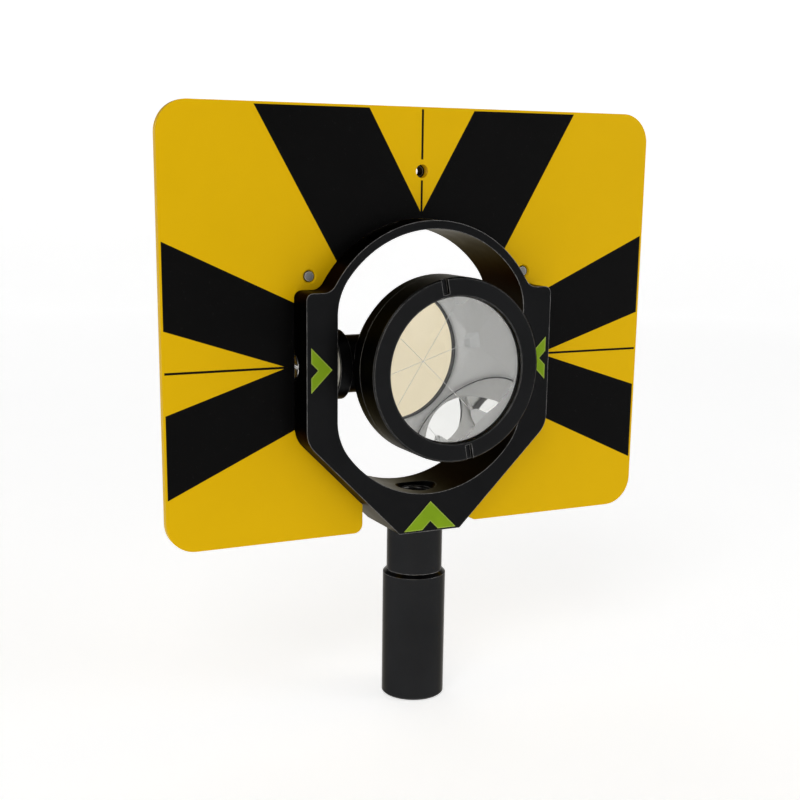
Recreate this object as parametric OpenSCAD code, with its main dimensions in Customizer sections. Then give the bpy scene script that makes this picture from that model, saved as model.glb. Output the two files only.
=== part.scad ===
// Single survey prism in a tilting frame, with a target plate and a pole adapter.
// Origin: middle of the pole thread's mouth, on the adapter's lower face.
// +Z up the pole, the prism looks along -Y, +X to the right as the target is faced.

/* [Pole adapter] */
// Diameter of the lower tube
tube_d = 28.7; // [27.5:0.1:34]
// Length of the lower tube
tube_len = 59.5; // [45:0.5:90]
// Diameter of the neck above the tube
neck_d = 25.3; // [22:0.1:27]
// Length of the neck
neck_len = 21; // [16:0.5:40]
// Bevel on the tube's shoulder
shoulder_bevel = 1.4; // [0.5:0.1:1.7]
// Minor diameter of the 5/8-11 pole thread
pole_thread_d = 13.6; // [13.4:0.1:13.9]
// Depth of the pole thread
pole_thread_depth = 24; // [16:1:30]
// Pitch diameter of the stud's 5/8-11 thread
stud_d = 14.7; // [14.3:0.1:14.9]
// Length of stud inside the adapter
stud_in_adapter = 14; // [10:0.5:15]
// Length of stud inside the frame's foot
stud_in_frame = 11; // [8:0.5:14]

/* [Frame] */
// Pivot axis above the frame's foot
foot_drop = 75; // [68:0.5:95]
// Width of the frame over its side blocks
frame_w = 118; // [112:0.5:142]
// Width of the flat foot
foot_w = 30; // [26:0.5:36]
// Top of the side blocks above the pivot axis
shoulder_h = 32; // [28:0.5:38]
// Frame's depth in front of the pivot axis
frame_front = 15; // [13:0.5:20]
// Frame's depth behind the pivot axis
frame_back = 18.5; // [16:0.5:24]
// Clear gap between the two inner flats
flat_gap = 89.8; // [88:0.2:96]
// Radius of the opening's top and bottom arcs
opening_r = 49.8; // [48:0.2:54]
// Distance of each arc's centre from the pivot axis
arc_shift = 7.8; // [7:0.2:9]
// Rounding between an inner flat and an arc of the opening
opening_round = 26; // [16:1:32]
// Wall of the ring over the top
rim_wall = 3.7; // [2.5:0.1:8]
// Fillet where a shoulder meets the ring
shoulder_fillet = 6; // [3:0.5:8]
// Rounding of a shoulder's outer corner
shoulder_round = 3; // [1:0.5:5]
// Rounding between a side block and the sloping side
side_round = 12; // [4:0.5:16]
// Diameter of the countersink at the foot thread's mouth
foot_sink_d = 17.4; // [16:0.2:20]
// Thickness of the ears and lug behind the plate
ear_t = 5; // [3:0.5:8]

/* [Target plate] */
// Width of the plate
plate_w = 233.6; // [190:0.5:290]
// Top edge above the pivot axis
plate_up = 108; // [96:0.5:140]
// Bottom edge below the pivot axis
plate_down = 76.1; // [72:0.1:100]
// Thickness of the plate
plate_t = 3.5; // [2.5:0.1:4.5]
// Radius of the plate's corners
plate_round = 13; // [6:0.5:20]
// Gap between plate and frame
plate_gap = 0.2; // [0.1:0.1:1.5]
// Width of the slot below the frame
slot_w = 54; // [44:0.5:60]
// Radius of the slot's lower corners
slot_round = 4; // [2:0.5:6]
// Plate screws' distance from the middle
ear_x = 52.2; // [50:0.1:54]
// Plate screws' height above the pivot axis
ear_z = 37.9; // [37:0.1:42]
// Outer radius of an ear
ear_r = 8; // [7:0.5:9]
// Height of the accessory hole above the pivot axis
top_hole_z = 81.4; // [76:0.1:88]
// Diameter of the accessory hole in the plate
top_hole_d = 5.7; // [5.2:0.1:6.5]
// Half width of the top lug
lug_r = 7.5; // [6.5:0.5:9]
// Tap-drill diameter of the M5 accessory thread
accessory_thread_d = 4.2; // [4.2:0.1:4.5]
// Major diameter of the plate screws
plate_screw_d = 5; // [4:0.5:5]

/* [Arrow stickers] */
// Thickness of a sticker
sticker_t = 0.2; // [0.1:0.05:0.4]
// Reach of a side arrow
side_arrow_reach = 9.5; // [7:0.5:10]
// Reach of the foot arrow
foot_arrow_reach = 12.9; // [10:0.1:13.5]
// Width of a side arrow's arm, along its reach
side_arrow_arm = 6.4; // [4:0.1:6.5]
// Width of the foot arrow's arm, along its reach
foot_arrow_arm = 9; // [6:0.1:9.5]

/* [Pivots] */
// Diameter of the pivot screw's head
pivot_head_d = 10.4; // [9:0.1:11]
// Thickness of the pivot screw's head
pivot_head_t = 2.8; // [2:0.1:3.5]
// Distance of the head's face below the frame's side
head_sink = 0.2; // [0:0.1:1]
// Diameter of the pivot screw's plain shoulder
pivot_d = 7; // [6:0.1:7.5]
// Wall of a pivot bush
bush_wall = 1.5; // [1:0.1:2]
// Diameter of the pivot screw's thread
pivot_thread_d = 5; // [4:0.5:5]
// Length of that thread
pivot_thread_len = 9; // [6:0.5:10]
// Width of the screwdriver slot
slot_cut_w = 1.4; // [1:0.1:2]
// Depth of the screwdriver slot
slot_cut_depth = 1.4; // [0.8:0.1:1.8]
// Thickness of a spring washer
spring_washer_t = 0.8; // [0.5:0.1:1]
// Thickness of a friction washer
friction_washer_t = 1.2; // [0.8:0.1:2]

/* [Prism can] */
// Outer diameter of bezel and can
can_d = 78.2; // [75:0.2:79.2]
// Clear aperture of the bezel
aperture_d = 62; // [52:0.5:63]
// Front of the bezel ahead of the pivot axis
bezel_front = 37.5; // [34:0.5:38.5]
// Length of the bezel along the axis
bezel_len = 13.2; // [10:0.2:14]
// Thickness of the bezel's lip in front of the glass
lip_t = 2.2; // [1.5:0.1:3]
// Length of the can's full-diameter barrel
barrel_len = 7.3; // [5:0.1:8]
// Half angle of the can's conical back
cone_angle = 35; // [32:1:37]
// Diameter of the pivot bosses
boss_d = 30; // [24:0.5:31]
// Thickness of a boss's outer flange
boss_flange = 5.4; // [3:0.1:6]
// Diameter of the arm behind the flange
arm_d = 25; // [18:0.5:26]
// Width of a bezel notch
notch_w = 2.8; // [2:0.1:4]
// Depth of a bezel notch
notch_depth = 1.6; // [1:0.1:2]
// Turn of the bezel and glass about the line of sight
clock_angle = 10.5; // [0:0.5:60]

/* [Glass] */
// Diameter of the glass
glass_d = 64; // [64:0.2:65]
// Rubber gasket's thickness in front of the glass
gasket_t = 0.8; // [0.5:0.1:1.5]
// Height of the glass from its face to its corner
glass_h = 47.2; // [46.5:0.1:49]

/* [Rear cap] */
// Diameter of the rear cap
cap_d = 34; // [30:0.5:38]
// Thickness of the rear cap's flange
cap_t = 3; // [2:0.5:5]

/* [Hidden] */

$fn = 96;
eps = 0.01;
// Lap between arcs and lines that touch, so that no sliver is left between them
tangent_lap = 0.003;
// Named clearances
running_fit = 0.04;
thread_fit = 0.03;
seat_fit = 0.02;
turn_gap = 0.3;
glass_gap = 0.5;

black = "#1e1e20";
steel = "silver";
green = "#708e00";

// Heights
pivot_z = tube_len + neck_len + foot_drop;

// Frame
side_x = frame_w / 2;
sink_depth = (foot_sink_d - stud_d) / 2;
sink_h = sink_depth + 3;
flat_x = flat_gap / 2;
foot_x = foot_w / 2;
side_drop = foot_drop - (side_x - foot_x);
rim_r = opening_r + rim_wall;
fillet_z = shoulder_h + shoulder_fillet;
fillet_x = sqrt(pow(rim_r + shoulder_fillet, 2) - pow(fillet_z - arc_shift, 2));
fillet_share = rim_r / (rim_r + shoulder_fillet);
fillet_foot = [fillet_x * fillet_share, arc_shift + (fillet_z - arc_shift) * fillet_share];

// Plate: its middle plane holds the pivot axis
plate_half = plate_t / 2;
ear_back = plate_half + ear_t;
washer_t = 1;
screw_head_t = 2.6;
screw_head_d = 1.8 * plate_screw_d;
screw_washer_d = 2 * plate_screw_d;
screw_hole_r = plate_screw_d / 2 + 0.15;
plate_tap_r = plate_screw_d / 2;
screw_tip_sink = 0.4;
disc_bevel = 0.6;
tip_bevel = 0.5;

// Pivots, measured outwards along X from the middle
bush_r = pivot_d / 2 + bush_wall;
counterbore_r = pivot_head_d / 2 + 0.8;
head_under_x = side_x - head_sink - pivot_head_t;
counterbore_x = head_under_x - turn_gap - spring_washer_t;
friction_out_x = flat_x - turn_gap;
boss_x = friction_out_x - friction_washer_t;
friction_washer_r = boss_d / 2 - 1;

// Can, measured forwards from the pivot axis
can_r = can_d / 2;
glass_r = glass_d / 2;
barrel_front = bezel_front - bezel_len;
barrel_back = barrel_front - barrel_len;
glass_front = bezel_front - lip_t - gasket_t;
glass_apex = glass_front - glass_h;
lobe_end = glass_apex + glass_r / sqrt(2);
glass_bore_r = glass_r + glass_gap;
can_wall = 2.4;
spigot_r = (can_r + glass_bore_r) / 2;
spigot_front = glass_front - 2.5;
edge_angle = atan(sqrt(2));
seat_front = lobe_end + 3.2;
seat_back = lobe_end - 0.4;
seat_in_r = glass_r - 5;
bevel_front = seat_front + 1;
bevel_end_r = seat_in_r + 1.2;
cone_r = glass_bore_r + can_wall;
cone_front = seat_back - 1;
cone_back = glass_apex - 5;
cap_r = cap_d / 2;
cap_spigot_r = cap_r - 4;
cap_spigot_len = 4;
inner_cone_r = bevel_end_r + glass_gap;
inner_cone_front = seat_back - 3;
seal_wire_r = 0.8;
seal_r = cap_spigot_r + 1.8;

// Two-dimensional and placing helpers -----------------------------------------

// Local X stays X, local Y becomes up, local Z points forwards from the pivot axis
module forwards() {
    translate([0, 0, pivot_z]) rotate([90, 0, 0]) children();
}

// Local Z points outwards along +X or -X from the pivot point
module sideways(side) {
    translate([0, 0, pivot_z]) rotate([0, 90 * side, 0]) children();
}

// Extrudes an outline in X and height between two distances ahead of the pivot axis
module slab(back, front) {
    forwards() translate([0, 0, back]) linear_extrude(front - back) children();
}

function unit(v) = v / norm(v);

// The sliver between a corner at v, with neighbours a and b, and its rounding of radius r
module corner_sliver(v, a, b, r) {
    u = unit(a - v);
    w = unit(b - v);
    half = acos(u * w) / 2;
    reach = r / tan(half);
    centre = v + unit(u + w) * r / sin(half);
    difference() {
        polygon([v, v + u * reach, centre, v + w * reach]);
        translate(centre) circle(r + tangent_lap);
    }
}

module mirrored() {
    children();
    mirror([1, 0]) children();
}

// Outer outline of the frame grown by a gap
module frame_outline(grow) {
    slope = grow * (sqrt(2) - 1);
    top = [side_x + grow, shoulder_h + grow];
    bend = [side_x + grow, -side_drop - slope];
    foot = [foot_x + slope, -foot_drop - grow];
    difference() {
        union() {
            translate([0, arc_shift]) circle(rim_r + grow);
            polygon([[-top[0], top[1]], top, bend, foot, [-foot[0], foot[1]], [-bend[0], bend[1]]]);
            mirrored() difference() {
                polygon([[fillet_foot[0] - 1, shoulder_h], fillet_foot, [fillet_x, fillet_z],
                         [fillet_x, shoulder_h]]);
                translate([fillet_x, fillet_z]) circle(shoulder_fillet - grow + tangent_lap);
            }
        }
        mirrored() corner_sliver(top, [0, top[1]], bend, shoulder_round + grow);
        mirrored() corner_sliver(bend, top, foot, side_round + grow);
    }
}

// What a rounding of the opening leaves in its upper right corner
module opening_corner() {
    rise = sqrt(pow(opening_r - opening_round, 2) - pow(flat_x - opening_round, 2));
    centre = [flat_x - opening_round, arc_shift + rise];
    lean = atan2(rise, flat_x - opening_round);
    reach = opening_round + 6;
    difference() {
        polygon([centre, centre + [reach, 0],
                 centre + [cos(lean / 2), sin(lean / 2)] * reach / cos(lean / 2),
                 centre + [cos(lean), sin(lean)] * reach]);
        translate(centre) circle(opening_round + tangent_lap);
    }
}

// Opening inside the frame: two arcs cut off by the inner flats, with rounded corners
module opening_outline() {
    difference() {
        intersection() {
            union() {
                for (s = [-1, 1]) translate([0, s * arc_shift]) circle(opening_r);
                square([2 * flat_x, 2 * arc_shift], center = true);
            }
            square([2 * flat_x, 4 * opening_r], center = true);
        }
        mirrored() {
            opening_corner();
            mirror([0, 1]) opening_corner();
        }
    }
}

// Frame assembly ---------------------------------------------------------------

module ears() {
    slab(-ear_back, -plate_half) {
        mirrored() translate([ear_x, ear_z]) circle(ear_r);
        translate([0, top_hole_z]) circle(lug_r);
        translate([-lug_r, arc_shift + opening_r + 1])
            square([2 * lug_r, top_hole_z - arc_shift - opening_r - 1]);
    }
}

module frame() {
    color(black) difference() {
        union() {
            slab(-frame_back, frame_front) frame_outline(0);
            ears();
        }
        slab(-frame_back - 1, frame_front + 1) opening_outline();
        // Foot thread, right through into the opening, with a countersunk mouth
        translate([0, 0, pivot_z - foot_drop - 1]) cylinder(r = stud_d / 2, h = foot_drop / 2);
        translate([0, 0, pivot_z - arc_shift - opening_r - sink_depth - eps])
            cylinder(r1 = stud_d / 2 - eps, r2 = stud_d / 2 - eps + sink_h, h = sink_h);
        // Plate screw holes
        for (s = [-1, 1])
            translate([s * ear_x, plate_half - 1, pivot_z + ear_z])
                rotate([-90, 0, 0]) cylinder(r = screw_hole_r, h = ear_t + 2);
        // Accessory thread in the top lug
        translate([0, plate_half - 1, pivot_z + top_hole_z])
            rotate([-90, 0, 0]) cylinder(r = accessory_thread_d / 2, h = ear_t + 2);
        // Pivot bores and counterbores
        for (s = [-1, 1]) sideways(s) {
            translate([0, 0, flat_x - 1]) cylinder(r = bush_r, h = side_x - flat_x + 2);
            translate([0, 0, counterbore_x]) cylinder(r = counterbore_r, h = side_x);
        }
    }
}

module plate_outline() {
    half = plate_w / 2;
    corners = [[-half, plate_up], [half, plate_up], [half, -plate_down], [-half, -plate_down]];
    slot_x = slot_w / 2;
    slope = plate_gap * (sqrt(2) - 1);
    bend = [side_x + plate_gap, -side_drop - slope];
    slot_top = bend[1] - (bend[0] - slot_x);
    difference() {
        polygon(corners);
        for (i = [0:3])
            corner_sliver(corners[i], corners[(i + 3) % 4], corners[(i + 1) % 4], plate_round);
        frame_outline(plate_gap);
        polygon([[-slot_x, slot_top], [slot_x, slot_top], [slot_x, -plate_down - 1],
                 [-slot_x, -plate_down - 1]]);
        mirrored() corner_sliver([slot_x, -plate_down], [slot_x, 0], [half, -plate_down], slot_round);
    }
}

module target_plate() {
    color("gold") difference() {
        slab(-plate_half, plate_half) plate_outline();
        forwards() {
            for (s = [-1, 1]) translate([s * ear_x, ear_z]) {
                translate([0, 0, -plate_half - 1]) cylinder(r = plate_tap_r, h = plate_t + 2);
                translate([0, 0, plate_half - disc_bevel])
                    cylinder(r1 = plate_tap_r, r2 = plate_tap_r + disc_bevel + eps, h = disc_bevel + eps);
            }
            translate([0, top_hole_z, -plate_half - 1]) cylinder(r = top_hole_d / 2, h = plate_t + 2);
        }
    }
}

// Screws come in from behind and end just below the plate's face
module plate_screws() {
    tip = plate_half - screw_tip_sink;
    tip_r = plate_tap_r - thread_fit;
    head = -ear_back - washer_t;
    color(steel) forwards() for (s = [-1, 1]) translate([s * ear_x, ear_z, 0]) {
        translate([0, 0, head]) cylinder(r = tip_r, h = tip - tip_bevel - head);
        translate([0, 0, tip - tip_bevel]) cylinder(r1 = tip_r, r2 = tip_r - tip_bevel, h = tip_bevel);
        difference() {
            translate([0, 0, head - screw_head_t]) cylinder(r = screw_head_d / 2, h = screw_head_t);
            translate([0, 0, head - screw_head_t - 1])
                cylinder(r = plate_screw_d / 3, h = 1 + screw_head_t * 0.6, $fn = 6);
        }
    }
}

module plate_washers() {
    color(steel) forwards() for (s = [-1, 1]) translate([s * ear_x, ear_z, -ear_back - washer_t])
        difference() {
            cylinder(r = screw_washer_d / 2, h = washer_t);
            translate([0, 0, -1]) cylinder(r = screw_hole_r, h = washer_t + 2);
        }
}

// An arrow head pointing along +X with its tip at the origin
module arrow(reach, arm) {
    wing = reach - arm;
    polygon([[0, 0], [-reach, reach], [-reach, wing], [-arm, 0], [-reach, -wing], [-reach, -reach]]);
}

module side_arrow(side) {
    tip_x = flat_x + 2.6;
    color(green) slab(frame_front, frame_front + sticker_t) translate([side * tip_x, 0])
        mirror([side > 0 ? 1 : 0, 0]) arrow(side_arrow_reach, side_arrow_arm);
}

module arrow_left() { side_arrow(-1); }
module arrow_right() { side_arrow(1); }

module arrow_foot() {
    base = 0.9;
    color(green) slab(frame_front, frame_front + sticker_t)
        translate([0, base + foot_arrow_reach - foot_drop]) rotate(90)
            arrow(foot_arrow_reach, foot_arrow_arm);
}

module pole_adapter() {
    top = tube_len + neck_len;
    tube_r = tube_d / 2;
    neck_r = neck_d / 2;
    edge = 0.6;
    color(black) difference() {
        rotate_extrude() polygon([
            [0, 0], [tube_r - edge, 0], [tube_r, edge],
            [tube_r, tube_len - shoulder_bevel], [tube_r - shoulder_bevel, tube_len],
            [neck_r, tube_len], [neck_r, top - edge], [neck_r - edge, top], [0, top]]);
        translate([0, 0, -1]) cylinder(r = pole_thread_d / 2, h = pole_thread_depth + 1);
        translate([0, 0, top - stud_in_adapter]) cylinder(r = stud_d / 2, h = stud_in_adapter + 1);
    }
}

module adapter_stud() {
    end = 0.8;
    base = tube_len + neck_len - stud_in_adapter;
    length = stud_in_adapter + stud_in_frame;
    r = stud_d / 2 - thread_fit;
    color(steel) translate([0, 0, base]) {
        cylinder(r = r, h = length - end);
        translate([0, 0, length - end]) cylinder(r1 = r, r2 = r - end, h = end);
    }
}

// Pivots -----------------------------------------------------------------------

module pivot_bush(side) {
    color("goldenrod") sideways(side) translate([0, 0, flat_x]) difference() {
        cylinder(r = bush_r - seat_fit, h = counterbore_x - flat_x);
        translate([0, 0, -1]) cylinder(r = pivot_d / 2, h = side_x);
    }
}

module spring_washer(side) {
    color(steel) sideways(side) translate([0, 0, counterbore_x]) difference() {
        cylinder(r = counterbore_r - 0.3, h = spring_washer_t);
        translate([0, 0, -1]) cylinder(r = pivot_d / 2 + 0.3, h = spring_washer_t + 2);
    }
}

module pivot_screw(side) {
    shoulder_len = head_under_x - boss_x;
    bevel = 0.5;
    head_r = pivot_head_d / 2;
    color(steel) sideways(side) {
        translate([0, 0, boss_x - pivot_thread_len])
            cylinder(r = pivot_thread_d / 2 - thread_fit, h = pivot_thread_len + 1);
        translate([0, 0, boss_x]) cylinder(r = pivot_d / 2 - running_fit, h = shoulder_len + eps);
        translate([0, 0, head_under_x]) difference() {
            union() {
                cylinder(r = head_r, h = pivot_head_t - bevel);
                translate([0, 0, pivot_head_t - bevel]) cylinder(r1 = head_r, r2 = head_r - bevel, h = bevel);
            }
            translate([-slot_cut_w / 2, -head_r - 1, pivot_head_t - slot_cut_depth])
                cube([slot_cut_w, 2 * head_r + 2, slot_cut_depth + 1]);
        }
    }
}

module friction_washer(side) {
    color("ivory") sideways(side) translate([0, 0, boss_x]) difference() {
        cylinder(r = friction_washer_r, h = friction_washer_t);
        translate([0, 0, -1]) cylinder(r = pivot_d / 2 + 0.2, h = friction_washer_t + 2);
    }
}

module pivot_bush_left() { pivot_bush(-1); }
module pivot_bush_right() { pivot_bush(1); }
module spring_washer_left() { spring_washer(-1); }
module spring_washer_right() { spring_washer(1); }
module pivot_screw_left() { pivot_screw(-1); }
module pivot_screw_right() { pivot_screw(1); }
module friction_washer_left() { friction_washer(-1); }
module friction_washer_right() { friction_washer(1); }

// Prism can ----------------------------------------------------------------------

// Outer radius of the conical back at a distance ahead of the pivot axis
function cone_outer(f) = cone_r - (cone_front - f) * tan(cone_angle);

module prism_housing() {
    color(black) difference() {
        union() {
            forwards() rotate_extrude() polygon([
                [0, cone_back], [max(cap_r, cone_outer(cone_back)), cone_back],
                [max(cap_r, cone_outer(cone_back)), cone_back + 2],
                [cone_outer(cone_back + 6), cone_back + 6],
                [cone_r, cone_front], [can_r - 1, barrel_back], [can_r, barrel_back + 1],
                [can_r, barrel_front], [spigot_r - thread_fit, barrel_front],
                [spigot_r - thread_fit, spigot_front], [0, spigot_front]]);
            for (s = [-1, 1]) sideways(s) {
                cylinder(r = arm_d / 2, h = boss_x - 1);
                translate([0, 0, boss_x - boss_flange]) cylinder(r = boss_d / 2, h = boss_flange);
            }
        }
        // Bore for the glass, its seat and the hollow behind it
        forwards() rotate_extrude() polygon([
            [0, spigot_front + 1], [glass_bore_r, spigot_front + 1], [glass_bore_r, seat_back],
            [inner_cone_r, seat_back], [inner_cone_r, inner_cone_front],
            [cap_spigot_r, glass_apex + 3], [cap_spigot_r, cone_back - 1], [0, cone_back - 1]]);
        for (s = [-1, 1]) sideways(s) translate([0, 0, boss_x - pivot_thread_len - 1])
            cylinder(r = pivot_thread_d / 2, h = pivot_thread_len + 2);
    }
}

module bezel_ring() {
    edge = 0.6;
    inner_edge = 0.4;
    aperture_r = aperture_d / 2;
    lip_back = bezel_front - lip_t;
    notch_in = (aperture_r + can_r) / 2 - 2.5;
    color(black) forwards() difference() {
        rotate_extrude() polygon([
            [spigot_r, barrel_front], [can_r - inner_edge, barrel_front], [can_r, barrel_front + inner_edge],
            [can_r, bezel_front - edge], [can_r - edge, bezel_front],
            [aperture_r + inner_edge, bezel_front], [aperture_r, bezel_front - inner_edge],
            [aperture_r, lip_back], [spigot_r, lip_back]]);
        for (turn = [0, 180]) rotate(clock_angle + turn)
            translate([-notch_w / 2, notch_in, bezel_front - notch_depth])
                cube([notch_w, can_r, notch_depth + 1]);
    }
}

module front_gasket() {
    color("dimgray") forwards() translate([0, 0, glass_front]) difference() {
        cylinder(r = glass_r, h = gasket_t);
        translate([0, 0, -1]) cylinder(r = aperture_d / 2 - 0.2, h = gasket_t + 2);
    }
}

// A cube standing on its corner, cut to a cylinder and bevelled at the ends of its edges
module corner_cube() {
    color("lightblue") forwards() rotate(clock_angle) intersection() {
        translate([0, 0, glass_apex]) rotate([0, -edge_angle, 0]) rotate([0, 0, -45]) cube(2 * glass_h);
        rotate_extrude() polygon([
            [0, glass_apex - 1], [bevel_end_r - 6, glass_apex - 1], [bevel_end_r, seat_back],
            [glass_r, bevel_front], [glass_r, glass_front - 0.4], [glass_r - 0.4, glass_front],
            [0, glass_front]]);
    }
}

// Rubber ring behind the ends of the glass's three edges
module seat_ring() {
    slack = 0.15;
    slope = (glass_r - bevel_end_r) / (bevel_front - seat_back);
    ring_in = bevel_end_r + slack;
    ring_out = glass_bore_r - seat_fit;
    color("dimgray") forwards() rotate_extrude() polygon([
        [ring_in, seat_back], [ring_out, seat_back],
        [ring_out, seat_front], [ring_in + slope * (seat_front - seat_back), seat_front]]);
}

module cap_seal() {
    color("dimgray") forwards() translate([0, 0, cone_back - seal_wire_r])
        rotate_extrude() translate([seal_r, 0]) circle(seal_wire_r);
}

module rear_cap() {
    groove = seal_wire_r + 0.05;
    color(black) forwards() difference() {
        rotate_extrude() polygon([
            [0, cone_back - cap_t], [cap_r - 1, cone_back - cap_t], [cap_r, cone_back - cap_t + 1],
            [cap_r, cone_back], [cap_spigot_r - thread_fit, cone_back],
            [cap_spigot_r - thread_fit, cone_back + cap_spigot_len], [0, cone_back + cap_spigot_len]]);
        translate([0, 0, cone_back - 2 * seal_wire_r]) difference() {
            cylinder(r = seal_r + groove, h = 2 * seal_wire_r + 1);
            translate([0, 0, -1]) cylinder(r = seal_r - groove, h = 2 * seal_wire_r + 3);
        }
        // Two pin holes for the spanner
        for (s = [-1, 1]) translate([s * cap_r * 0.6, 0, cone_back - cap_t - 1])
            cylinder(r = 1.2, h = 2.5);
    }
}

frame();
target_plate();
plate_screws();
plate_washers();
arrow_left();
arrow_right();
arrow_foot();
pole_adapter();
adapter_stud();
pivot_bush_left();
pivot_bush_right();
spring_washer_left();
spring_washer_right();
pivot_screw_left();
pivot_screw_right();
friction_washer_left();
friction_washer_right();
prism_housing();
bezel_ring();
front_gasket();
corner_cube();
seat_ring();
cap_seal();
rear_cap();
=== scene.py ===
# %% [markdown]
# # A survey prism with its target plate
#
# A survey prism sends a measuring beam straight back to the instrument. This one sits in a ring-shaped
# frame of black anodised aluminium, in front of a yellow and black plate that helps the eye to find it.
# The engineering model gives every piece its true shape and place. This lesson gives the pieces the soft
# edges, the threads, the printed plate, the optics and the finishes that make them look real.
#
# Units are metres. +Z runs up the pole, the prism looks along -Y, and +X is to the right of someone who
# faces the plate. The pivot of the prism lies 155.5 mm above the bottom of the pole adapter.

# %% Load the engineering model as the fixed frame
import math

import bmesh
import bpy
import numpy as np
from mathutils import Matrix, Vector


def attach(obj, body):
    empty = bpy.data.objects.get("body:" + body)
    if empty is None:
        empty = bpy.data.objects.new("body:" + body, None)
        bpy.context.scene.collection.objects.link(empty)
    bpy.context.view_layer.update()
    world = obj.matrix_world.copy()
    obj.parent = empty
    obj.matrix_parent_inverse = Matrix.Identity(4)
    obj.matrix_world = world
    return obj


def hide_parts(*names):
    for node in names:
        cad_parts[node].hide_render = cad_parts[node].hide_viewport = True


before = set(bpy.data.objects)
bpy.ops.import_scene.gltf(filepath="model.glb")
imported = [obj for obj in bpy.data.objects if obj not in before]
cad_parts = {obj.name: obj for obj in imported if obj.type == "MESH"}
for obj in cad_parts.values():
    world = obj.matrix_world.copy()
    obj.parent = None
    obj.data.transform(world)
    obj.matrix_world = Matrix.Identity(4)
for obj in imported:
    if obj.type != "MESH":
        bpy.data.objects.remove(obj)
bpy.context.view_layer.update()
MM = 0.001
PIVOT_Z = 155.5 * MM

# %% [markdown]
# ## Helpers for materials
#
# A material in Blender is a tree of nodes. Short helpers keep the recipes readable: one adds a node and
# plugs its inputs, one does a step of arithmetic, and the others blend colours and make soft noise. Patterns
# read Object coordinates, which here are simply positions on the survey prism in metres, so a pattern stays
# fixed to its piece.


# %% A node, a step of arithmetic, a blend and a noise
def add(tree, kind, inputs=None, **settings):
    """Adds one node. Each input is a socket, which is linked, or a constant, which is typed in."""
    made = tree.nodes.new("ShaderNode" + kind)
    for name, value in settings.items():
        setattr(made, name, value)
    for name, value in (inputs or {}).items():
        if isinstance(value, bpy.types.NodeSocket):
            tree.links.new(value, made.inputs[name])
        else:
            made.inputs[name].default_value = value
    return made


def calc(tree, operation, a, b=0.0, c=0.0, clamp=False):
    """One Math node: its result as a socket."""
    made = add(tree, "Math", {0: a, 1: b, 2: c}, operation=operation)
    made.use_clamp = clamp
    return made.outputs[0]


def blend_colours(tree, share, low, high):
    """Goes from one colour to the other as share goes from 0 to 1."""
    made = add(tree, "Mix", {0: share}, data_type="RGBA")
    for socket, value in ((made.inputs[6], low), (made.inputs[7], high)):
        if isinstance(value, bpy.types.NodeSocket):
            tree.links.new(value, socket)
        else:
            socket.default_value = (*value, 1.0)
    return made.outputs[2]


def position(tree, scale=(1, 1, 1), move=(0, 0, 0)):
    """Object coordinates, moved and then stretched."""
    where = add(tree, "TexCoord").outputs["Object"]
    if scale == (1, 1, 1) and move == (0, 0, 0):
        return where
    return add(tree, "Mapping", {"Vector": where, "Location": move, "Scale": scale}).outputs[0]


def noise(tree, scale, detail=2.0, stretch=(1, 1, 1)):
    """Soft random values from 0 to 1. Scale is the number of patches in a metre."""
    return add(tree, "TexNoise", {"Vector": position(tree, stretch), "Scale": scale,
                                  "Detail": detail}).outputs["Fac"]


def spread(tree, value, low, high):
    """Moves values from about 0.3...0.7 to low...high, as a noise mostly stays in that range."""
    return add(tree, "MapRange", {"Value": value, 1: 0.3, 2: 0.7, 3: low, 4: high}).outputs[0]


print("material helpers ready")

# %% [markdown]
# ## Edges that catch the light
#
# A machined edge is never perfectly sharp, and on black metal its thin bright line is most of what one sees
# of the shape. The Bevel shader node compares the surface with a rounded copy of itself, so the difference
# of the two normals is large only at edges. That gives a mask for a lighter edge colour, which is partly
# rubbed wear and partly a painted highlight.


# %% Edge mask
def edge_mask(tree, radius, gain=4.0):
    """1 at an edge and 0 on open surface: one minus the agreement of rounded and true normals."""
    rounded = add(tree, "Bevel", {"Radius": radius}, samples=6).outputs[0]
    true = add(tree, "NewGeometry").outputs["Normal"]
    agree = add(tree, "VectorMath", {0: rounded, 1: true}, operation="DOT_PRODUCT").outputs["Value"]
    return calc(tree, "MULTIPLY", calc(tree, "SUBTRACT", 1.0, agree), gain, clamp=True)


def material(name):
    """An empty material with its output and a Principled shader joined up."""
    made = bpy.data.materials.new(name)
    made.use_nodes = True
    tree = made.node_tree
    tree.nodes.clear()
    shader = add(tree, "BsdfPrincipled")
    add(tree, "OutputMaterial", {"Surface": shader.outputs[0]})
    return made, tree, shader


def plug(tree, shader, **sockets):
    """Sets or links sockets of the Principled shader, with _ for a space in the socket's name."""
    for name, value in sockets.items():
        socket = shader.inputs[name.replace("_", " ")]
        if isinstance(value, bpy.types.NodeSocket):
            tree.links.new(value, socket)
            continue
        is_colour = isinstance(value, tuple) and len(value) == 3
        socket.default_value = (*value, 1.0) if is_colour else value


def bumps(tree, *layers):
    """Stacks bumps. Each layer is (height from 0 to 1, depth in metres)."""
    normal = None
    for height, depth in layers:
        inputs = {"Height": height, "Distance": depth, "Strength": 1.0}
        if normal is not None:
            inputs["Normal"] = normal
        normal = add(tree, "Bump", inputs).outputs[0]
    return normal


print("edge mask ready")

# %% [markdown]
# ## Black anodised aluminium
#
# The frame, can, bezel and adapter are turned or milled, blasted fine, and anodised black. Light does not
# scatter in such a skin: it is a metal that returns little light, and little even at a flat angle, where the
# dye warms it a little. A metallic shader with a very dark colour and a dark edge tint does just that. Fine
# grain from blasting, faint tool lines round the turned pieces and patches that handling has polished give
# it scale. Its edges are painted lighter, partly as thin, worn skin and partly as a painted highlight.


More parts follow.
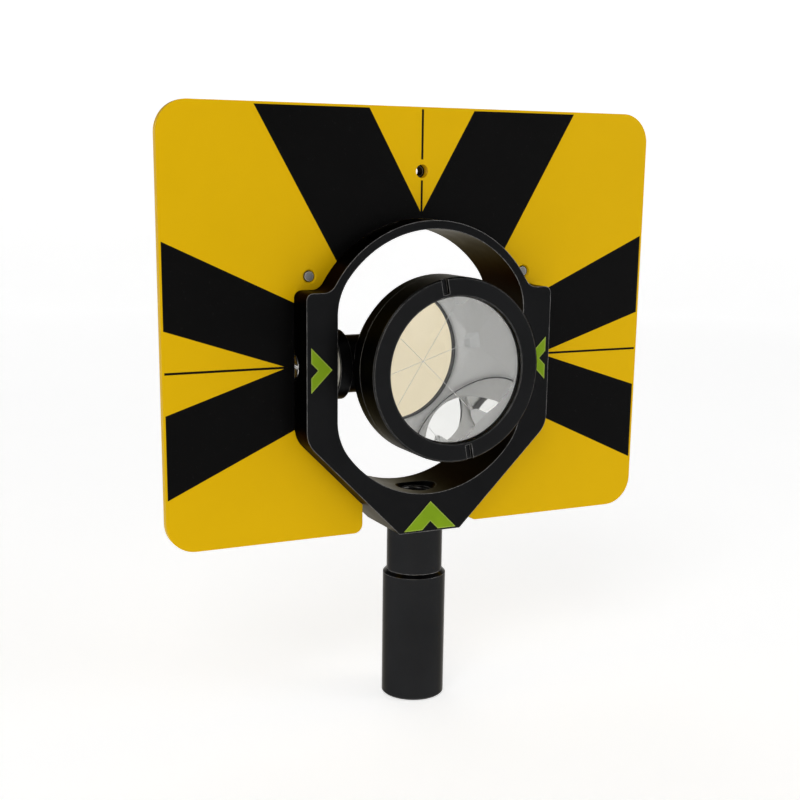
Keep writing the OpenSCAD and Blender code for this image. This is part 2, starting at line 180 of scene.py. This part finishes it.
# %% Black anodised finishes
# Lighter grey of the edges: partly worn anodising, partly a painted highlight.
WORN_AND_HIGHLIT_EDGE = (0.30, 0.295, 0.29)
WARM_TINT = (0.46, 0.43, 0.36)
PALE_TINT = (0.60, 0.59, 0.57)
TOOL_LINES = 2600


def black_anodised(name, tool_lines=(0, 0, 0), sheen=(0.30, 0.38), grey=0.0105, tint=WARM_TINT):
    """tool_lines is how fast the tool marks change along X, Y and Z, in lines to the metre, sheen the range
    of roughness, and grey the share of light that comes straight back."""
    made, tree, shader = material(name)
    patches = noise(tree, 38, 4)
    grain = noise(tree, 3200, 2)
    wear_and_highlight_share = spread(tree, noise(tree, 420, 3), 0.35, 1.0)
    # The edges are painted lighter: partly worn skin, partly a painted highlight.
    edge = calc(tree, "MULTIPLY", edge_mask(tree, 0.5 * MM, 22.0), wear_and_highlight_share)
    skin = [tuple(grey * share * part for part in (0.98, 1.0, 1.05)) for share in (0.9, 1.1)]
    skin = blend_colours(tree, spread(tree, patches, 0, 1), *skin)
    rough = spread(tree, noise(tree, 90, 5), *sheen)
    layers = [(grain, 0.004 * MM)]
    if any(tool_lines):
        lines = noise(tree, 1.0, 1, tool_lines)
        layers.append((lines, 0.006 * MM))
        rough = calc(tree, "ADD", rough, calc(tree, "MULTIPLY", lines, 0.05))
    plug(tree, shader, Base_Color=blend_colours(tree, edge, skin, WORN_AND_HIGHLIT_EDGE), Metallic=1.0,
         Roughness=calc(tree, "SUBTRACT", rough, calc(tree, "MULTIPLY", edge, 0.08)),
         Normal=bumps(tree, *layers), Specular_Tint=tint)
    return made


FRAME_BLACK = black_anodised("black anodised, milled")
CAN_BLACK = black_anodised("black anodised, turned about the sight line", (0, TOOL_LINES, 0), grey=0.0130)
POLE_BLACK = black_anodised("black anodised, turned about the pole", (0, 0, TOOL_LINES), (0.17, 0.23), 0.020,
                            PALE_TINT)
print("black finishes:", [m.name for m in (FRAME_BLACK, CAN_BLACK, POLE_BLACK)])

# %% [markdown]
# ## Yellow paint and the printed target
#
# The plate is sheet metal with a satin yellow powder coat. Its front carries a print: two broad black bands
# that open upwards like a V, two wedges on each side, and fine aiming lines that point at the middle of the
# prism. The print is worked out from straight lines in the plate's own plane, measured from the pivot, so
# every boundary is an exact line. Because the plate is mirror-symmetric the recipe uses the distance from the
# middle line. The paint keeps a narrow yellow margin outside the print, and no print on the back.

# %% Lines of the print, in metres from the pivot
V_SLOPE = math.tan(math.radians(30))
V_INNER_FOOT = 63.7 * MM
V_OUTER_FOOT = -25.0 * MM
WEDGE_OUTER_SLOPE = 0.458
WEDGE_INNER_SLOPE = 0.325
WEDGE_POINT = 62.5 * MM
LINE_HALF = 0.5 * MM
TOP_LINE_FOOT = 62.0 * MM
HOLE_GAP = (77.6 * MM, 86.3 * MM)
PLATE_HALF = 116.8 * MM
PLATE_TOP = 108.0 * MM
MARGIN = 1.0 * MM
BAND_SOFT = 0.1 * MM


def inside(tree, signed, soft=0.06 * MM):
    """1 where a signed distance is positive and 0 where it is negative, with a very thin soft border."""
    return add(tree, "MapRange", {"Value": signed, 1: -soft, 2: soft, 3: 0.0, 4: 1.0}).outputs[0]


def all_of(tree, *masks):
    """The smallest of several masks: 1 only where each is 1."""
    result = masks[0]
    for m in masks[1:]:
        result = calc(tree, "MINIMUM", result, m)
    return result


def any_of(tree, *masks):
    """The largest of several masks."""
    result = masks[0]
    for m in masks[1:]:
        result = calc(tree, "MAXIMUM", result, m)
    return result


def target_print(tree):
    """Mask of the black ink: V bands, side wedges and aiming lines, on the front face only."""
    spot = add(tree, "SeparateXYZ", {0: position(tree, move=(0, 0, -PIVOT_Z))})
    aside = calc(tree, "ABSOLUTE", spot.outputs[0])
    up = spot.outputs[2]
    height = calc(tree, "ABSOLUTE", up)

    def line(slope, across, constant, along=up):
        """Signed distance: along - slope * across - constant."""
        return calc(tree, "SUBTRACT", calc(tree, "SUBTRACT", along, constant),
                    calc(tree, "MULTIPLY", across, slope))

    def flip(value):
        return calc(tree, "MULTIPLY", value, -1.0)

    v_inner = line(1 / V_SLOPE, aside, V_INNER_FOOT)
    v_outer = line(1 / V_SLOPE, aside, V_OUTER_FOOT)
    bands = all_of(tree, inside(tree, flip(v_inner), BAND_SOFT), inside(tree, v_outer, BAND_SOFT))
    past_point = calc(tree, "SUBTRACT", aside, WEDGE_POINT)
    wedges = all_of(tree, inside(tree, line(WEDGE_INNER_SLOPE, past_point, 0.0, height)),
                    inside(tree, flip(line(WEDGE_OUTER_SLOPE, aside, 0.0, height))))
    in_hole_gap = all_of(tree, inside(tree, calc(tree, "SUBTRACT", up, HOLE_GAP[0])),
                         inside(tree, calc(tree, "SUBTRACT", HOLE_GAP[1], up)))
    upright = all_of(tree, inside(tree, calc(tree, "SUBTRACT", LINE_HALF, aside)),
                     inside(tree, calc(tree, "SUBTRACT", up, TOP_LINE_FOOT)),
                     calc(tree, "SUBTRACT", 1.0, in_hole_gap))
    level = all_of(tree, inside(tree, calc(tree, "SUBTRACT", LINE_HALF, height)),
                   inside(tree, past_point))
    within = all_of(tree, inside(tree, calc(tree, "SUBTRACT", PLATE_HALF - MARGIN, aside)),
                    inside(tree, calc(tree, "SUBTRACT", PLATE_TOP - MARGIN, up)))
    normal = add(tree, "SeparateXYZ", {0: add(tree, "NewGeometry").outputs["True Normal"]})
    front = calc(tree, "LESS_THAN", normal.outputs[1], -0.9)
    return all_of(tree, any_of(tree, bands, wedges, upright, level), within, front)


# %% Yellow paint with ink
def plate_finish():
    """Satin powder coat with its faint orange peel, and ink that lies on it a little flatter."""
    made, tree, shader = material("yellow powder coat with printed target")
    ink = target_print(tree)
    speck = inside(tree, calc(tree, "SUBTRACT", noise(tree, 900, 1), 0.74), 0.02)
    tone = spread(tree, noise(tree, 14, 4), 0, 1)
    paint = blend_colours(tree, tone, (0.750, 0.455, 0.0003), (0.780, 0.473, 0.0010))
    # The plate's edges are painted a paler yellow: a painted highlight.
    paint = blend_colours(tree, edge_mask(tree, 0.5 * MM, 2.0), paint, (0.84, 0.54, 0.012))
    black = blend_colours(tree, tone, (0.0012, 0.0012, 0.0013), (0.0022, 0.0021, 0.0022))
    black = blend_colours(tree, calc(tree, "MULTIPLY", speck, 0.3), black, (0.02, 0.02, 0.02))
    peel = noise(tree, 750, 2)
    rough = spread(tree, noise(tree, 60, 4), 0.34, 0.46)
    plug(tree, shader, Base_Color=blend_colours(tree, ink, paint, black),
         Roughness=calc(tree, "ADD", rough, calc(tree, "MULTIPLY", ink, 0.03)),
         Normal=bumps(tree, (peel, 0.006 * MM), (ink, 0.008 * MM)), Specular_IOR_Level=0.05)
    return made


PLATE_PAINT = plate_finish()
print("plate finish has", len(PLATE_PAINT.node_tree.nodes), "nodes")

# %% [markdown]
# ## Steel, bronze, film, rubber and nylon
#
# The small parts each have their own skin. Turned steel shows rings that run round the screw's axis, which a
# noise gives when it only changes with the distance from that axis, and its edges are painted lighter,
# partly as rubbed wear and partly as a painted highlight. The green arrows are printed film with a paler cut
# edge. The gasket and seals are plain rubber, the friction washers nylon, the bushes bronze.


# %% Turned metals
STEEL = (0.62, 0.61, 0.59)
OILED_STEEL = (0.20, 0.20, 0.195)
# Lighter steel of the edges: partly rubbed wear, partly a painted highlight.
RUBBED_AND_HIGHLIT_STEEL = (0.75, 0.74, 0.72)
RING_LINES = 5200.0
PLATE_SCREW_X = 52.2 * MM
PLATE_SCREW_Z = PIVOT_Z + 37.9 * MM


def turned_metal(name, colour, axis, centre, rough=(0.16, 0.30)):
    """Metal whose fine rings change with the distance from an axis: 0 for X, 1 for Y."""
    made, tree, shader = material(name)
    spot = add(tree, "SeparateXYZ", {0: position(tree, move=tuple(-c for c in centre))})
    one, two = [spot.outputs[i] for i in range(3) if i != axis]
    far = calc(tree, "SQRT", calc(tree, "ADD", calc(tree, "MULTIPLY", one, one),
                                  calc(tree, "MULTIPLY", two, two)))
    rings = add(tree, "TexNoise", {"W": calc(tree, "MULTIPLY", far, RING_LINES), "Scale": 1.0,
                                   "Detail": 2.0}, noise_dimensions="1D").outputs[0]
    smudge = noise(tree, 300, 3)
    darker = tuple(c * 0.82 for c in colour)
    skin = blend_colours(tree, spread(tree, smudge, 0, 1), darker, colour)
    # The rim is painted a lighter steel: partly rubbed wear, partly a painted highlight.
    rim = edge_mask(tree, 0.4 * MM, 10.0)
    plug(tree, shader, Base_Color=blend_colours(tree, rim, skin, RUBBED_AND_HIGHLIT_STEEL),
         Metallic=1.0, Roughness=spread(tree, smudge, *rough), Normal=bumps(tree, (rings, 0.004 * MM)))
    return made


PIVOT = (0, 0, PIVOT_Z)
DULL = (0.25, 0.4)
PIVOT_STEEL = turned_metal("turned steel, pivots", STEEL, 0, PIVOT)
SCREW_STEEL_LEFT = turned_metal("turned steel, left plate screw", OILED_STEEL, 1,
                                (-PLATE_SCREW_X, 0, PLATE_SCREW_Z), DULL)
SCREW_STEEL_RIGHT = turned_metal("turned steel, right plate screw", OILED_STEEL, 1,
                                 (PLATE_SCREW_X, 0, PLATE_SCREW_Z), DULL)
BRONZE = turned_metal("turned bronze", (0.60, 0.42, 0.20), 0, PIVOT, DULL)
STUD_STEEL = turned_metal("stud steel", STEEL, 0, PIVOT, (0.22, 0.4))


# %% Film, rubber and nylon
def plain_skin(name, low, high, rough, depth, scale, rim=None, level=0.4):
    """A material with a little variation in colour, gloss and grain, and maybe a paler rim. Depth is how
    deep the grain is, scale how many grains there are in a metre, and level the strength of its gloss."""
    made, tree, shader = material(name)
    tone = spread(tree, noise(tree, 120, 3), 0, 1)
    colour = blend_colours(tree, tone, low, high)
    if rim is not None:
        colour = blend_colours(tree, edge_mask(tree, 0.8 * MM, 6.0), colour, rim)
    plug(tree, shader, Base_Color=colour, Roughness=spread(tree, noise(tree, 260, 3), *rough),
         Normal=bumps(tree, (noise(tree, scale, 2), depth)), Specular_IOR_Level=level)
    return made


GREEN = plain_skin("green printed film", (0.190, 0.325, 0.001), (0.212, 0.355, 0.002), (0.30, 0.42),
                   0.004 * MM, 1500, (0.42, 0.52, 0.10), 0.15)
RUBBER = plain_skin("black rubber", (0.012, 0.012, 0.012), (0.02, 0.02, 0.02), (0.55, 0.75),
                    0.01 * MM, 2200, level=0.3)
NYLON = plain_skin("natural nylon", (0.60, 0.58, 0.50), (0.72, 0.70, 0.62), (0.4, 0.55),
                   0.004 * MM, 1800)
print("small finishes ready")

# %% [markdown]
# ## Glass and its silvered faces
#
# The reflector is a solid glass corner: a flat polished front and three faces that meet at right angles
# behind it. The three faces carry a metal coating on the outside, so a ray is mirrored three times inside
# the glass and leaves parallel to where it came from. That is why the front needs clear refracting glass, and
# the rear faces a mirror that is seen through the glass. The cylinder of the rim is ground dull before it is
# coated, so it glows in an even silvery grey. The bevels and the broken edges are ground and pale. Light that
# is caught inside bounces many times, so the scene lets a ray turn more often than usual.


# %% Optical finishes
def clear_glass():
    """Polished crown glass with a few faint wipes on its surface."""
    made, tree, shader = material("polished optical glass")
    wipes = spread(tree, noise(tree, 45, 5, (1, 1, 3)), 0.0, 0.012)
    plug(tree, shader, Base_Color=(0.995, 0.998, 0.997), Roughness=wipes, IOR=1.517,
         Transmission_Weight=1.0, Normal=bumps(tree, (noise(tree, 300, 2), 0.00002 * MM)))
    return made


def silver_coat(name, low, high, rough):
    """Coated face: a mirror with very slight streaks, clear or frosted."""
    made, tree, shader = material(name)
    streak = spread(tree, noise(tree, 80, 4), 0.0, 1.0)
    plug(tree, shader, Base_Color=blend_colours(tree, streak, low, high),
         Metallic=1.0, Roughness=spread(tree, noise(tree, 200, 3), *rough))
    return made


GLASS = clear_glass()
SILVER = silver_coat("silvered glass face", (0.965, 0.965, 0.96), (0.98, 0.98, 0.975), (0.004, 0.02))
FROSTED = silver_coat("frosted silver rim", (0.99, 0.99, 0.985), (0.995, 0.995, 0.99), (0.7, 0.8))
GROUND = plain_skin("ground glass edge", (0.88, 0.89, 0.89), (0.93, 0.94, 0.94), (0.6, 0.8),
                    0.01 * MM, 2500)
print("glass finishes:", [m.name for m in (GLASS, SILVER, FROSTED, GROUND)])

# %% [markdown]
# ## Machined pieces with softened edges
#
# The engineering model has perfectly sharp edges. Real ones are broken by a small chamfer. A copy of each
# machined piece has its coinciding points merged and its flat neighbours joined, and a Bevel modifier then
# rounds each edge that is sharper than 30 degrees. The copy stands for the original, which is hidden.


# %% A softened copy of an engineering node
SAME_POINT = 0.002 * MM
SAME_PLANE = math.radians(0.4)
SHARP = math.radians(30)


def merged_copy(node, name, finishes, smooth, mark=None):
    """A new object with the node's surface, its coinciding points merged and its flat neighbours joined.
    mark may note something on the edges before the mesh is written back."""
    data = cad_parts[node].data.copy()
    data.name = name
    shape = bmesh.new()
    shape.from_mesh(data)
    bmesh.ops.remove_doubles(shape, verts=shape.verts, dist=SAME_POINT)
    bmesh.ops.dissolve_limit(shape, angle_limit=SAME_PLANE, verts=shape.verts, edges=shape.edges)
    for face in shape.faces:
        face.smooth = smooth
    if mark is not None:
        mark(shape)
    shape.to_mesh(data)
    shape.free()
    if data.has_custom_normals:
        data.attributes.remove(data.attributes["custom_normal"])
    data.materials.clear()
    for finish in finishes:
        data.materials.append(finish)
    piece = bpy.data.objects.new(name, data)
    bpy.context.scene.collection.objects.link(piece)
    return piece


def softened(node, name, finish, body, width):
    """The node's surface with every sharp edge rounded to the given width."""
    piece = merged_copy(node, name, [finish], True)
    bevel = piece.modifiers.new("broken edges", "BEVEL")
    bevel.width, bevel.segments, bevel.limit_method = width, 2, "ANGLE"
    bevel.angle_limit, bevel.use_clamp_overlap, bevel.harden_normals = SHARP, True, True
    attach(piece, body)
    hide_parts(node)
    print(name, "stands for", node, "with", len(piece.data.polygons), "faces before its edges are rounded")
    return piece


# %% The black pieces, the plate and the pivot screws
softened("frame", "frame_body", FRAME_BLACK, "root", 0.55 * MM)
softened("pole_adapter", "adapter_body", POLE_BLACK, "root", 0.3 * MM)
softened("target_plate", "plate_sheet", PLATE_PAINT, "root", 0.45 * MM)
softened("prism_housing", "can_body", CAN_BLACK, "prism", 0.4 * MM)
softened("bezel_ring", "bezel", CAN_BLACK, "prism", 0.3 * MM)
softened("rear_cap", "can_cap", CAN_BLACK, "prism", 0.3 * MM)
softened("pivot_screw_left", "pivot_left", PIVOT_STEEL, "prism", 0.15 * MM)
softened("pivot_screw_right", "pivot_right", PIVOT_STEEL, "prism", 0.15 * MM)

# %% [markdown]
# ## The glass corner
#
# The corner's shape is exact already. Its copy gets a finish for each kind of face: the front, which faces
# along -Y, is clear, the three slanting faces are mirrors, the rim, whose faces stand at a right angle to Y,
# is frosted silver, and the bevels at the back are ground. A face's direction tells which. The optician
# breaks the three edges between the mirrors by a tenth of a millimetre. They show as a fine star, six lines
# with their reflections, so a Bevel modifier cuts them and gives the cut the ground finish.


# %% Finish by direction of each face
SLANT = 1 / math.sqrt(3)
NEARLY = 0.02
CLEAR_FACE, SILVER_FACE, GROUND_FACE, FROSTED_FACE = range(4)


def mark_corner_edges(shape):
    """Gives a bevel weight of 1 to each edge where two different slanting faces meet, and 0 to the others."""
    weight = shape.edges.layers.float.new("bevel_weight_edge")
    for edge in shape.edges:
        slants = [abs(f.normal.y - SLANT) < NEARLY for f in edge.link_faces]
        edge[weight] = float(len(slants) == 2 and all(slants) and edge.calc_face_angle() > 1.0)
    print("edges between mirrors:", sum(e[weight] > 0 for e in shape.edges))


def glass_corner():
    """A merged copy of the glass with one of four finishes on each face, chosen by its normal's Y, and the
    edges where two slanting faces meet cut by a bevel."""
    piece = merged_copy("corner_cube", "glass_corner", [GLASS, SILVER, GROUND, FROSTED], False,
                        mark_corner_edges)
    faces = piece.data.polygons
    normals = np.zeros(len(faces) * 3, np.float32)
    faces.foreach_get("normal", normals)
    along = normals.reshape(-1, 3)[:, 1]
    kind = np.full(len(along), GROUND_FACE)
    kind[along < -0.9] = CLEAR_FACE
    kind[np.abs(along - SLANT) < NEARLY] = SILVER_FACE
    kind[np.abs(along) < NEARLY] = FROSTED_FACE
    faces.foreach_set("material_index", kind.astype(np.int32))
    bevel = piece.modifiers.new("broken edges", "BEVEL")
    bevel.limit_method, bevel.width, bevel.segments = "WEIGHT", 0.12 * MM, 1
    bevel.material = GROUND_FACE
    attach(piece, "prism")
    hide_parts("corner_cube")
    print("glass faces, clear, silvered, ground, frosted:", np.bincount(kind, minlength=4).tolist())
    return piece


glass_corner()

# %% [markdown]
# ## Thread in the frame's foot
#
# The foot is tapped right through, and the last turns of the 5/8 inch thread show inside the ring. A thread
# is a profile carried along a helix. On a grid, each point has an angle and a height, and its radius goes in
# and out with the height less the part of a pitch that the angle has used up. The liner's outer wall lies in
# the bore, from the end of the stud up to the countersink.

# %% Threaded liner
THREAD_PITCH = 25.4 / 11 * MM
THREAD_OUT, THREAD_IN = 7.34 * MM, 6.75 * MM
ROOT_WALL = 0.05 * MM
STUD_TOP, SINK_FOOT = -63.8 * MM, -59.0 * MM


def grid_mesh(name, points, finish, slot, body, closed_u=True, closed_v=True, smooth=True):
    """Turns an (m, n, 3) grid into a mesh of quads. Each way round it closes on itself or stays open."""
    m, n = points.shape[:2]
    i = np.arange(m if closed_u else m - 1)[:, None]
    j = np.arange(n if closed_v else n - 1)[None, :]
    near, far = i * n, ((i + 1) % m) * n
    quads = np.stack([near + j, far + j, far + (j + 1) % n, near + (j + 1) % n], -1).reshape(-1, 4)
    data = bpy.data.meshes.new(name)
    data.from_pydata(points.reshape(-1, 3).tolist(), [], quads.tolist())
    data.polygons.foreach_set("use_smooth", np.full(len(quads), smooth))
    data.materials.append(finish)
    piece = bpy.data.objects.new(name, data)
    bpy.context.scene.collection.objects.link(piece)
    if slot is None:
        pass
    else:
        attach(piece, body)
    print(name, "has", len(quads), "quads")
    return piece


def foot_thread():
    """Angle a runs round and z runs up from the stud to the countersink. The radius goes between crest and
    root as a triangle wave of z / pitch - a / turn, with flat crests and roots. Two more columns at the
    bore's radius close the liner at its top and bottom."""
    a = np.linspace(0, 2 * np.pi, 144, endpoint=False)[:, None]
    z = np.broadcast_to(np.linspace(STUD_TOP, SINK_FOOT, 97)[None, :], (len(a), 97))
    wave = np.abs(((z / THREAD_PITCH - a / (2 * np.pi)) % 1.0) * 2 - 1)
    flank = np.clip((wave - 0.12) / 0.76, 0, 1)
    r = THREAD_IN + (THREAD_OUT - ROOT_WALL - THREAD_IN) * flank
    r = np.concatenate([np.full_like(a, THREAD_OUT), r, np.full_like(a, THREAD_OUT)], 1)
    z = np.concatenate([z[:, :1], z, z[:, -1:]], 1)
    points = np.stack([r * np.cos(a), r * np.sin(a), z + PIVOT_Z], -1)
    return grid_mesh("foot_thread", points[:, ::-1], FRAME_BLACK, "black_anodised", "root")


foot_thread()

# %% [markdown]
# ## Finishes of the pieces that keep their engineering shape
#
# Stickers, washers, bushes, seals and screws already have their real shape, so they only need a finish. The
# two plate screws are one node, and the rings on each must run round its own axis, so the faces left and
# right of the middle get different copies of the steel.

# %% Assign the finishes
KEPT = {
    GREEN: ("arrow_left", "arrow_right", "arrow_foot"),
    PIVOT_STEEL: ("spring_washer_left", "spring_washer_right"),
    BRONZE: ("pivot_bush_left", "pivot_bush_right"),
    NYLON: ("friction_washer_left", "friction_washer_right"),
    RUBBER: ("front_gasket", "seat_ring", "cap_seal"),
    STUD_STEEL: ("adapter_stud",),
}
for finish, names in KEPT.items():
    for name in names:
        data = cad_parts[name].data
        data.materials.clear()
        data.materials.append(finish)
for name in ("plate_screws", "plate_washers"):
    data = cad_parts[name].data
    data.materials.clear()
    data.materials.append(SCREW_STEEL_LEFT)
    data.materials.append(SCREW_STEEL_RIGHT)
    middle = np.zeros(len(data.polygons) * 3, np.float32)
    data.polygons.foreach_get("center", middle)
    data.polygons.foreach_set("material_index", (middle[0::3] > 0).astype(np.int32))
print("finished nodes:", sum(len(n) for n in KEPT.values()) + 2)

# %% [markdown]
# ## Studio
#
# The object stands on a pale floor that curves up all round into a low wall, and the sky above the wall is
# just as pale, so no horizon shows from any side. The floor is one profile, a straight line and a quarter
# circle, carried round the vertical axis. The paper glows, as in a light box, so shadows stay soft. Light
# also comes from three large soft lamps. The sky gives little light, which keeps the black metal black. A
# small warm card stands behind the eye: the prism sends back what is behind the one who looks, so this card
# is what one sees in the lens-shaped part of the glass.


# %% Floor that curves up into a wall
EYE = np.array([-0.26305, -0.51333, 0.23483])
PAPER_GLOW, CARD_GLOW = 0.63, 0.19
SKY_LIGHT, SKY_SEEN = 0.12, 1.0


def studio_bowl():
    """Profile: radius grows along the floor to the bend, then radius = bend + b sin t and height =
    b (1 - cos t), then straight up. Carried round Z, and closed in the middle by one tiny ring. The floor
    lies a hair below the object."""
    bend, b, wall, hair = 1.8, 0.8, 0.85, 0.0004
    t = np.linspace(0, np.pi / 2, 25)
    radius = np.concatenate([[0.0001, 0.1, 0.4, 1.0], bend + b * np.sin(t), [bend + b]])
    height = np.concatenate([[0, 0, 0, 0], b * (1 - np.cos(t)), [wall]]) - hair
    a = np.linspace(0, 2 * np.pi, 96, endpoint=False)[:, None]
    points = np.stack([radius * np.cos(a), radius * np.sin(a), np.broadcast_to(height, (96, len(radius)))], -1)
    made, tree, shader = material("matt pale paper")
    tone = spread(tree, noise(tree, 6, 3), 0, 1)
    plug(tree, shader, Base_Color=blend_colours(tree, tone, (0.86, 0.86, 0.86), (0.88, 0.88, 0.88)),
         Roughness=0.9, Specular_IOR_Level=0.1, Emission_Color=(1.0, 1.0, 1.0),
         Emission_Strength=PAPER_GLOW)
    return grid_mesh("studio_bowl", points, made, None, None, closed_v=False)


studio_bowl()


def lamp(name, place, size, power):
    """A square soft lamp that looks at the object's middle. It lights and reflects, but isn't in view."""
    data = bpy.data.lights.new(name, "AREA")
    data.size, data.energy = size, power
    made = bpy.data.objects.new(name, data)
    bpy.context.scene.collection.objects.link(made)
    made.location = place
    away = made.location - AIM
    made.rotation_euler = away.to_track_quat("Z", "Y").to_euler()
    made.visible_camera = False
    return made


AIM = Vector((0, 0, 0.15))
lamp("key_lamp", (-0.9, -1.1, 1.3), 0.9, 6.6)
lamp("side_lamp", (1.3, -0.9, 0.8), 0.8, 3.6)
lamp("back_lamp", (0.2, 1.2, 1.4), 1.0, 2.2)


def warm_card(size=0.5, away=0.85):
    """A flat square grid behind the eye, at right angles to the line from the prism to the eye."""
    back = Vector(EYE.tolist()) - Vector(PIVOT)
    turn = back.to_track_quat("Z", "Y").to_matrix()
    middle = np.array(Vector(PIVOT) + back.normalized() * away)
    side, rise = np.array(turn.col[0]), np.array(turn.col[1])
    u = np.linspace(-size / 2, size / 2, 9)
    points = middle + u[:, None, None] * side + u[None, :, None] * rise
    made, tree, shader = material("warm paper")
    plug(tree, shader, Base_Color=(0.8, 0.7, 0.5), Roughness=0.9,
         Emission_Color=(1.0, 0.90, 0.66), Emission_Strength=CARD_GLOW)
    card = grid_mesh("warm_card", points, made, None, None, closed_u=False, closed_v=False)
    card.visible_camera = False
    return card


warm_card()

# %% Sky, view and bounces
world = bpy.data.worlds.new("pale sky")
bpy.context.scene.world = world
world.use_nodes = True
sky = world.node_tree.nodes["Background"]
path = add(world.node_tree, "LightPath").outputs
seen = calc(world.node_tree, "MAXIMUM", path["Is Camera Ray"], path["Is Transmission Ray"])
strength = calc(world.node_tree, "MULTIPLY_ADD", seen, SKY_SEEN - SKY_LIGHT, SKY_LIGHT)
plug(world.node_tree, sky, Color=(1.0, 1.0, 1.0), Strength=strength)
bpy.context.scene.view_settings.view_transform = "Standard"
bounces = bpy.context.scene.cycles
bounces.max_bounces, bounces.glossy_bounces, bounces.diffuse_bounces = 24, 20, 8
bounces.transmission_bounces = 20

# %% [markdown]
# ## Camera
#
# The eye is to the left of the object and above it, at a hand's reach, with a slightly long lens. The lens
# shift places the object in the picture without turning the camera.

# %% Camera from its place, its line of sight and its roll
SIGHT = np.array([0.42467, 0.87753, -0.22269])
ROLL = math.radians(0.61)
LENS, SENSOR, SHIFT = 58.83, 36.0, (0.0171, 0.0931)

sight = SIGHT / np.linalg.norm(SIGHT)
right = np.cross(sight, [0, 0, 1])
right /= np.linalg.norm(right)
up = np.cross(right, sight)
cos_roll, sin_roll = math.cos(ROLL), math.sin(ROLL)
right, up = right * cos_roll + up * sin_roll, up * cos_roll - right * sin_roll
camera = bpy.data.objects.new("camera", bpy.data.cameras.new("camera"))
bpy.context.scene.collection.objects.link(camera)
turn = np.eye(4)
turn[:3, 0], turn[:3, 1], turn[:3, 2], turn[:3, 3] = right, up, -sight, EYE
camera.matrix_world = Matrix(turn.tolist())
camera.data.lens, camera.data.sensor_width = LENS, SENSOR
camera.data.shift_x, camera.data.shift_y = SHIFT
camera.data.clip_start = 0.01
bpy.context.scene.camera = camera
print("camera stands", round(float(np.linalg.norm(EYE - PIVOT)), 3), "m from the pivot")
